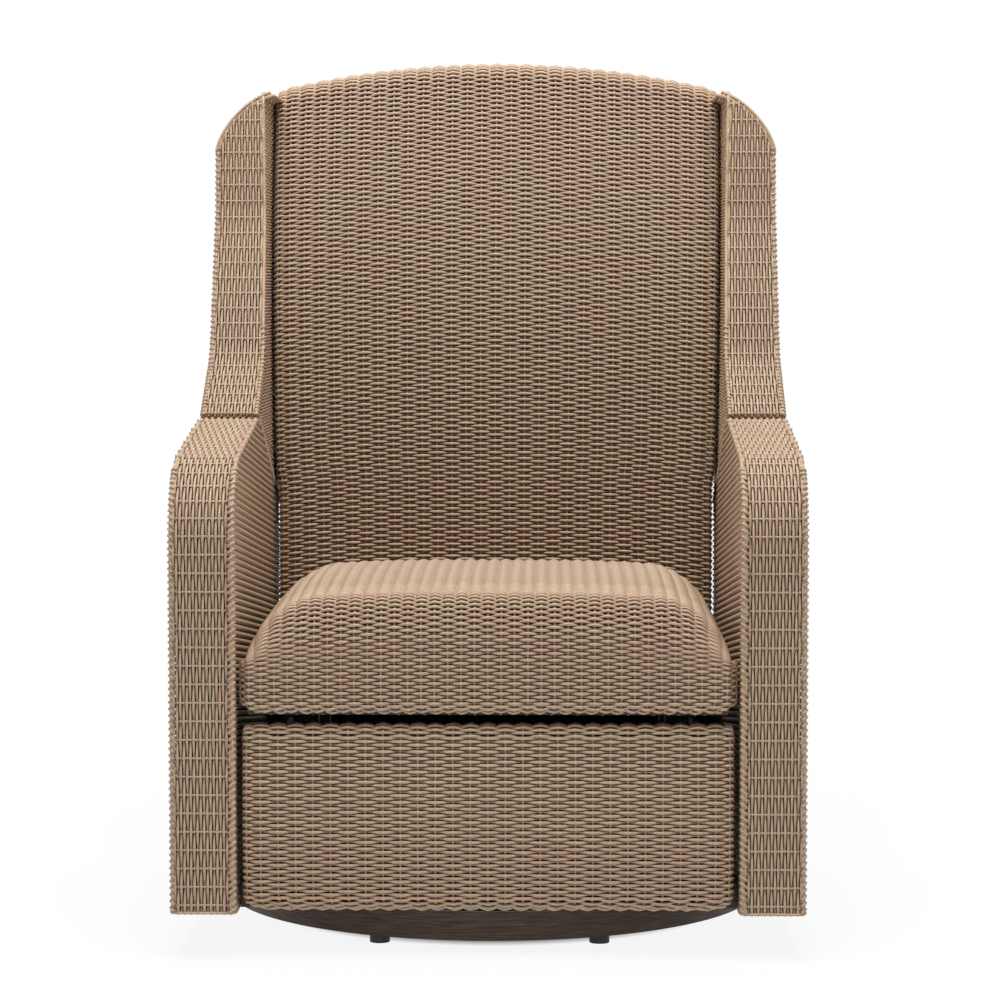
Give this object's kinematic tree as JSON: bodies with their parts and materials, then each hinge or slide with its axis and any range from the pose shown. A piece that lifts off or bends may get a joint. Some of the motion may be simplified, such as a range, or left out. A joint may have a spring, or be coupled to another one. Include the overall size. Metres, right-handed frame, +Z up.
{
  "type": "swivel recliner",
  "caption": "High-backed woven armchair on a round swivel base; pushing the back down slides the seat and lifts the footrest.",
  "frame": {"origin": "on the floor under the swivel axis, at the middle of the box round the chair at rest", "axes": "+Z up, the chair faces -Y, +X to the sitter's left"},
  "size_m": [0.762, 0.81, 1.1248],
  "materials": {
    "woven_resin": "satin",
    "bronze_metal": "brushed",
    "glide": "matte",
    "webbing": "matte",
    "frame_tube": "satin",
    "steel": "satin"
  },
  "bodies": {
    "base": {"base_ring": "bronze_metal", "foot_glides": "glide", "base_spider": "bronze_metal", "race_screws": "steel", "swivel_lower_race": "steel", "swivel_balls": "steel", "ball_cage": "glide", "swivel_stud": "steel", "swivel_nut": "steel"},
    "chassis": {"swivel_upper_race": "steel", "turntable_bolts": "steel", "left_slide_rail": "steel", "right_slide_rail": "steel", "chassis_frame": "frame_tube", "arm_bolts": "steel", "rear_apron": "woven_resin", "left_arm_weave": "woven_resin", "left_arm_frame": "frame_tube", "right_arm_weave": "woven_resin", "right_arm_frame": "frame_tube"},
    "seat": {"seat_weave": "woven_resin", "seat_frame": "frame_tube", "seat_webbing": "webbing", "plate_pins": "steel", "back_hinge_pins": "steel", "left_mechanism_plate": "steel", "left_hinge_bracket": "steel", "right_mechanism_plate": "steel", "right_hinge_bracket": "steel"},
    "back": {"back_weave": "woven_resin", "back_frame": "frame_tube", "left_back_lug": "steel", "left_wing_weave": "woven_resin", "right_back_lug": "steel", "right_wing_weave": "woven_resin"},
    "drive_links": {"left_drive_link": "steel", "right_drive_link": "steel", "footrest_torque_tube": "steel", "drive_pins": "steel"},
    "guide_links": {"left_guide_link": "steel", "right_guide_link": "steel", "guide_pins": "steel"},
    "carrier_links": {"left_carrier_link": "steel", "right_carrier_link": "steel", "carrier_pins": "steel", "footrest_pins": "steel"},
    "control_links": {"left_control_link": "steel", "right_control_link": "steel", "crank_pins": "steel"},
    "footrest": {"footrest_weave": "woven_resin", "footrest_frame": "frame_tube", "left_footrest_bracket": "steel", "right_footrest_bracket": "steel"}
  },
  "joints": [
    {"name": "swivel", "type": "hinge", "parent": "base", "child": "chassis", "pos_m": [0, 0, 0.047], "axis": [0, 0, 1], "continuous": true},
    {"name": "seat_slide", "type": "slide", "parent": "chassis", "child": "seat", "axis": [0, -1, 0], "range_m": [0, 0.045]},
    {"name": "recline", "type": "hinge", "parent": "seat", "child": "back", "pos_m": [0, 0.208, 0.268], "axis": [-1, 0, 0], "range_deg": [0, 35]},
    {"name": "footrest_drive", "type": "hinge", "parent": "seat", "child": "drive_links", "pos_m": [0, -0.255, 0.272], "axis": [-1, 0, 0], "range_deg": [0, 95]},
    {"name": "footrest_guide", "type": "hinge", "parent": "seat", "child": "guide_links", "pos_m": [0, -0.19771, 0.23178], "axis": [-1, 0, 0], "range_deg": [0, 95]},
    {"name": "footrest_carrier", "type": "hinge", "parent": "drive_links", "child": "carrier_links", "pos_m": [0, -0.18112, 0.13008], "axis": [-1, 0, 0], "range_deg": [-95, 0]},
    {"name": "footrest_control", "type": "hinge", "parent": "guide_links", "child": "control_links", "pos_m": [0, -0.1423, 0.12534], "axis": [-1, 0, 0], "range_deg": [-95, 0]},
    {"name": "footrest_tilt", "type": "hinge", "parent": "carrier_links", "child": "footrest", "pos_m": [0, -0.332, 0.236], "axis": [-1, 0, 0], "range_deg": [0, 95]}
  ],
  "couplings": [
    {"joint": "seat_slide", "follows": "recline", "m_per_rad": 0.0736},
    {"joint": "footrest_drive", "follows": "recline", "ratio": 2.714},
    {"joint": "footrest_guide", "follows": "recline", "ratio": 2.714},
    {"joint": "footrest_carrier", "follows": "recline", "ratio": -2.714},
    {"joint": "footrest_control", "follows": "recline", "ratio": -2.714},
    {"joint": "footrest_tilt", "follows": "recline", "ratio": 2.714}
  ]
}
